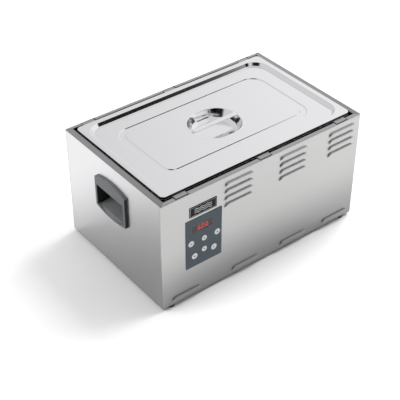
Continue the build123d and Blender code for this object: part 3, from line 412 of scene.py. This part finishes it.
# =====================================================================
# Lid: one pressed sheet, swept round as rings of rounded rectangles
# =====================================================================
RIM_TOP = LID_HIGH.z / MM
LID_FLOOR = STRAP_HIGH.z / MM - 2.2
SKIRT_BOTTOM = 288.3
SKIRT_ROWS = 3
EDGE_R, SKIRT_R, SKIRT_SHRINK = 2.2, 11, 0.6
STEP_LIP, STEP_FOOT, STEP_AT, STEP_RUN, STEP_R = 1.6, 2.2, 12.6, 6.0, 40
SHEET_THICKNESS = 0.9


def lid_profile():
    """(half length, half width, corner radius, z) in millimetres, from the skirt inwards."""
    half_l, half_w = LID_HIGH.x / MM, LID_HIGH.y / MM
    rows = []

    def inset(d, radius, z):
        rows.append((half_l - d, half_w - d, radius, z))

    inset(0, SKIRT_R, SKIRT_BOTTOM)
    for x, z in arc(EDGE_R, RIM_TOP - EDGE_R, EDGE_R, 180, 90):
        inset(x, SKIRT_R - x * SKIRT_SHRINK, z)
    # rim, then the sunken step's wall with a rounded lip and foot
    slope = math.degrees(math.atan2(RIM_TOP - LID_FLOOR, STEP_RUN - 1.5))
    inset(STEP_AT - 0.8, STEP_R + 1, RIM_TOP)
    for x, z in arc(STEP_AT, RIM_TOP - STEP_LIP, STEP_LIP, 90, 90 - slope):
        inset(x, STEP_R - (x - STEP_AT), z)
    for x, z in arc(STEP_AT + STEP_RUN + 1.6, LID_FLOOR + STEP_FOOT, STEP_FOOT, 270 - slope, 270):
        inset(x, STEP_R - (x - STEP_AT), z)
    return rows


GROOVE = (206.5, 104.0, 36.0)
GROOVE_WIDTH, GROOVE_DEPTH, GROOVE_SLOPE, GROOVE_ROUND = 15.5, 2.0, 1.4, 0.4
BREAK_IN, BREAK_START, BREAK_END, GROOVE_SHRINK = 0.22, 0.09, 0.28, 0.85


def groove_rows():
    """The stiffening groove: a flat channel between two steep walls with rounded breaks."""
    half_l, half_w, radius = GROOVE
    low = LID_FLOOR - GROOVE_DEPTH
    outline = [
        (-GROOVE_ROUND, LID_FLOOR), (0.0, LID_FLOOR - BREAK_START),
        (BREAK_IN, LID_FLOOR - BREAK_END), (GROOVE_SLOPE - BREAK_IN, low + BREAK_END),
        (GROOVE_SLOPE, low + BREAK_START), (GROOVE_SLOPE + GROOVE_ROUND, low),
    ]
    rows = []
    for d, z in outline + [(GROOVE_WIDTH - d, z) for d, z in reversed(outline)]:
        rows.append((half_l - d, half_w - d, radius - d * GROOVE_SHRINK, z))
    return rows


BOWL = (61.0, 56.5, 50.0)
BOWL_DEPTH = 23.0
RING_LINE = ((6.2, 0.0), (5.6, -0.22), (5.0, 0.0), (2.6, 0.0))
BOWL_LIP, BOWL_LIP_X, BOWL_LEAN = 2.4, -1.8, 70.0
BOWL_FOOT, BOWL_FOOT_X, BOWL_MIN_R = 13.0, 18.8, 8.0
DISH_RUN, DISH_DROP = 14, 0.25


def bowl_rows():
    """The hand bowl: a faint ring line, a rounded lip, a steep wall, and a dished floor."""
    half_l, half_w, radius = BOWL
    rows = []
    for grow, z in RING_LINE:
        rows.append((half_l + grow, half_w + grow, radius + grow, LID_FLOOR + z))
    for x, z in arc(BOWL_LIP_X, LID_FLOOR - BOWL_LIP, BOWL_LIP, 90, 90 - BOWL_LEAN, 6):
        rows.append((half_l - x, half_w - x, radius - x, z))
    floor = LID_FLOOR - BOWL_DEPTH
    for x, z in arc(BOWL_FOOT_X, floor + BOWL_FOOT, BOWL_FOOT, 180 + (90 - BOWL_LEAN), 270, 10):
        rows.append((half_l - x, half_w - x, max(radius - x, BOWL_MIN_R), z))
    x = BOWL_FOOT_X + DISH_RUN
    rows.append((half_l - x, half_w - x, BOWL_MIN_R, floor - DISH_DROP))
    return rows


def make_lid():
    rows = lid_profile() + groove_rows() + bowl_rows()
    rings = [ring(l * MM, w * MM, max(r, 1.0) * MM, z * MM) for l, w, r, z in rows]
    vertices, faces = loft_rings(rings, cap_last=True)
    lid = mesh_piece("lid_pressing", vertices, faces, MATERIALS["lid_steel"], "lid")
    lid.data.materials.append(MATERIALS["skirt_painted_black"])
    # the skirt rows get the near-black steel, a painted reflection of the dark gap
    for polygon in lid.data.polygons[:SKIRT_ROWS * len(rings[0])]:
        polygon.material_index = 1
    thick = lid.modifiers.new("sheet", "SOLIDIFY")
    thick.thickness = SHEET_THICKNESS * MM
    thick.offset = -1.0
    weights = lid.modifiers.new("flats", "WEIGHTED_NORMAL")
    weights.keep_sharp = False
    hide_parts("lid_sheet")


make_lid()


# =====================================================================
# Strap handle across the bowl: a flat bar with rounded edges and spread feet
# =====================================================================
STRAP_STATIONS, STRAP_SECTION = 40, 16
TIP_SHARE, TIP_POWER, TIP_MIN, TIP_DROP = 0.10, 2.2, 0.02, 0.5
BAR_DEEP, FOOT_DEEP, THIN_FROM, THIN_RUN = 3.6, 1.6, 56, 5
ON_LID_FROM, LID_GAP = 60, 0.02
FLAT_Y, FLAT_Z = 0.55, 0.75


def make_strap():
    half = STRAP_HIGH.x / MM
    width = STRAP_HIGH.y / MM
    top = STRAP_HIGH.z / MM
    rings = []
    for i in range(STRAP_STATIONS + 1):
        t = -1 + 2 * i / STRAP_STATIONS
        x = t * half
        tip = max(0.0, (abs(t) - 1 + TIP_SHARE) / TIP_SHARE)
        w = width * math.sqrt(max(TIP_MIN, 1 - tip ** TIP_POWER))
        thinning = min(1.0, max(0.0, (abs(x) - THIN_FROM) / THIN_RUN))
        crown = top - TIP_DROP * tip
        low = crown - BAR_DEEP + (BAR_DEEP - FOOT_DEEP) * thinning
        if abs(x) > ON_LID_FROM:
            low = max(low, LID_FLOOR + LID_GAP)
        points = []
        for k in range(STRAP_SECTION):
            a = 2 * math.pi * k / STRAP_SECTION
            c, s = math.cos(a), math.sin(a)
            y = w * math.copysign(abs(c) ** FLAT_Y, c)
            z = (crown + low) / 2 + (crown - low) / 2 * math.copysign(abs(s) ** FLAT_Z, s)
            points.append(Vector((x * MM, y * MM, z * MM)))
        rings.append(points)
    vertices, faces = loft_rings(rings, cap_first=True, cap_last=True)
    strap = mesh_piece("lid_strap_bar", vertices, faces, MATERIALS["lid_steel"], "lid")
    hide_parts("lid_strap")


make_strap()


# =====================================================================
# Printed marks: key symbols and the badge's blank emblem
# =====================================================================
INK = MATERIALS["switch_plastic"]
PRINT_T = 0.06


def flat_marks(name, outlines, y, mat, body):
    """Thin raised shapes facing the front; each outline is a list of (x, z) in millimetres."""
    bm = bmesh.new()
    for outline in outlines:
        front = [bm.verts.new((x * MM, (y - PRINT_T) * MM, z * MM)) for x, z in outline]
        back = [bm.verts.new((x * MM, y * MM, z * MM)) for x, z in outline]
        bm.faces.new(front)
        bm.faces.new(list(reversed(back)))
        count = len(outline)
        for i in range(count):
            k = (i + 1) % count
            bm.faces.new((front[i], back[i], back[k], front[k]))
    bmesh.ops.recalc_face_normals(bm, faces=bm.faces)
    mesh = bpy.data.meshes.new(name)
    bm.to_mesh(mesh)
    bm.free()
    mesh.materials.append(mat)
    obj = bpy.data.objects.new(name, mesh)
    bpy.context.scene.collection.objects.link(obj)
    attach(obj, body)


def band(points, width):
    """Outline of a line of even width along points."""
    left, right = [], []
    for i, (x, z) in enumerate(points):
        ax, az = points[max(0, i - 1)]
        bx, bz = points[min(len(points) - 1, i + 1)]
        length = math.hypot(bx - ax, bz - az)
        nx, nz = -(bz - az) / length * width / 2, (bx - ax) / length * width / 2
        left.append((x + nx, z + nz))
        right.append((x - nx, z - nz))
    return left + right[::-1]


SYMBOL_STEPS = 16


def symbol(kind, x, z):
    """Generic key symbols, each about four millimetres across."""
    if kind == "up":
        return [[(x - 2.4, z - 1.5), (x + 2.4, z - 1.5), (x, z + 2.1)]]
    if kind == "down":
        return [[(x - 2.4, z + 1.5), (x, z - 2.1), (x + 2.4, z + 1.5)]]
    if kind == "power":
        return [band(arc(x, z, 2.2, 125, 415, SYMBOL_STEPS), 0.7),
                band([(x, z + 0.4), (x, z + 3.0)], 0.7)]
    if kind == "clock":
        return [band(arc(x, z, 2.3, 0, 359, SYMBOL_STEPS), 0.6),
                band([(x, z), (x, z + 1.7)], 0.6),
                band([(x - 0.2, z), (x + 1.3, z)], 0.6)]
    if kind == "drop":
        return [arc(x, z - 0.7, 1.7, 150, 390, SYMBOL_STEPS) + [(x, z + 2.8)]]
    return [[(x - 1.7, z - 1.7), (x + 1.7, z - 1.7), (x + 1.7, z + 1.7), (x - 1.7, z + 1.7)]]


KEY_SYMBOLS = {
    "key_upper_left": "clock", "key_up": "up", "key_upper_right": "drop",
    "key_lower_left": "stop", "key_down": "down", "key_lower_right": "power",
}


def make_key_symbols():
    for node, kind in KEY_SYMBOLS.items():
        low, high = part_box(node)
        x, z = (low.x + high.x) / 2 / MM, (low.z + high.z) / 2 / MM
        flat_marks(f"{node}_symbol", symbol(kind, x, z), low.y / MM, INK, KEY_BODIES[node])


make_key_symbols()


BORDER_INSET, BORDER_LINE = 2.2, 0.5
WAVE_SPAN, WAVE_PITCH, WAVE_HEIGHT, WAVE_LINE, WAVE_STEPS, WAVE_TURNS = 46.0, 4.6, 1.3, 1.3, 48, 3


def make_badge_marks():
    """A thin border and three plain waves, in place of any mark."""
    x0, x1 = BADGE_LOW.x / MM, BADGE_HIGH.x / MM
    z0, z1 = BADGE_LOW.z / MM, BADGE_HIGH.z / MM
    face = BADGE_LOW.y / MM
    edge, line = BORDER_INSET, BORDER_LINE
    a0, a1, c0, c1 = x0 + edge, x1 - edge, z0 + edge, z1 - edge
    outlines = [
        [(a0, c0), (a1, c0), (a1, c0 + line), (a0, c0 + line)],
        [(a0, c1 - line), (a1, c1 - line), (a1, c1), (a0, c1)],
        [(a0, c0 + line), (a0 + line, c0 + line), (a0 + line, c1 - line), (a0, c1 - line)],
        [(a1 - line, c0 + line), (a1, c0 + line), (a1, c1 - line), (a1 - line, c1 - line)],
    ]
    start = (x0 + x1) / 2 - WAVE_SPAN / 2
    for row in (-1, 0, 1):
        z = (z0 + z1) / 2 + row * WAVE_PITCH
        points = [
            (start + WAVE_SPAN * i / WAVE_STEPS,
             z + WAVE_HEIGHT * math.sin(2 * WAVE_TURNS * math.pi * i / WAVE_STEPS))
            for i in range(WAVE_STEPS + 1)
        ]
        outlines.append(band(points, WAVE_LINE))
    flat_marks("badge_waves", outlines, face, MATERIALS["key_white"], "casing")


make_badge_marks()


# =====================================================================
# Studio: pale floor, soft light
# =====================================================================
FLOOR_SIZE = 14.0


def make_floor():
    half = FLOOR_SIZE / 2
    mesh = bpy.data.meshes.new("floor")
    corners = [(-half, -half, 0), (half, -half, 0), (half, half, 0), (-half, half, 0)]
    mesh.from_pydata(corners, [], [(0, 1, 2, 3)])
    mat, graph, bsdf = new_material("studio_floor", Roughness=0.9, Specular_IOR_Level=0.1)
    paper = noise(graph, 3.0)
    shade = graph.ramp(paper, [(0.3, (0.90, 0.90, 0.90)), (0.7, (0.92, 0.92, 0.92))])
    link(graph, shade, bsdf, "Base Color")
    mesh.materials.append(mat)
    floor = bpy.data.objects.new("floor", mesh)
    bpy.context.scene.collection.objects.link(floor)


def area_light(name, at, to, size, power):
    """A square light that is left out of reflections."""
    data = bpy.data.lights.new(name, "AREA")
    data.shape = "SQUARE"
    data.size = size
    data.energy = power
    light = bpy.data.objects.new(name, data)
    light.location = at
    light.rotation_euler = (Vector(to) - Vector(at)).to_track_quat("-Z", "Y").to_euler()
    light.visible_glossy = False
    bpy.context.scene.collection.objects.link(light)


SURROUND = 0.86
LEFT_LEVEL, RIGHT_LEVEL = 0.80, 1.08
RISE_FROM, RISE_TO = 0.35, 0.62


def toward(graph, way, direction, spread):
    """1 where the surround lies along a direction, falling smoothly to 0 at the spread in degrees."""
    facing = graph.dot(way, Vector(direction).normalized())
    inner, outer = (math.cos(math.radians(angle)) for angle in spread)
    return graph.remap(facing, 0.0, 1.0, outer, inner, interpolation_type="SMOOTHSTEP")


# unlit parts of the studio: (direction, (full, faded) angles, darkness)
DARK_PARTS = (
    ((-0.66, -0.62, 0.42), (20, 34), 0.985),
    ((-0.36, -0.92, 0.14), (16, 21), 0.98),
    ((0.02, -0.99, 0.06), (11, 15), 0.98),
    ((0.38, -0.79, 0.47), (10, 15), 0.99),
)


def make_world():
    """White surround, a little brighter to the right, with unlit parts low in front."""
    world = bpy.data.worlds.new("studio")
    bpy.context.scene.world = world
    world.use_nodes = True
    graph = Graph(world.node_tree)
    way = graph.add("ShaderNodeTexCoord").outputs["Generated"]
    rightness = graph.add("ShaderNodeSeparateXYZ", {0: way}).outputs["X"]
    level = graph.remap(rightness, LEFT_LEVEL, RIGHT_LEVEL, RISE_FROM, RISE_TO)
    for direction, spread, darkness in DARK_PARTS:
        part = toward(graph, way, direction, spread)
        keep = graph.remap(part, 1.0, 1.0 - darkness)
        product = graph.add("ShaderNodeMath", {0: level, 1: keep}, operation="MULTIPLY")
        level = product.outputs[0]
    background = world.node_tree.nodes["Background"]
    grey = graph.add("ShaderNodeCombineColor", {"Red": level, "Green": level, "Blue": level})
    graph.tree.links.new(grey.outputs[0], background.inputs["Color"])
    background.inputs["Strength"].default_value = SURROUND


make_floor()
make_world()
area_light("key", (2.3, -0.1, 3.0), (0, 0, 0.1), 2.4, 135.0)
area_light("left_fill", (-2.8, 0.9, 2.5), (-0.3, 0.0, 0.1), 2.2, 60.0)
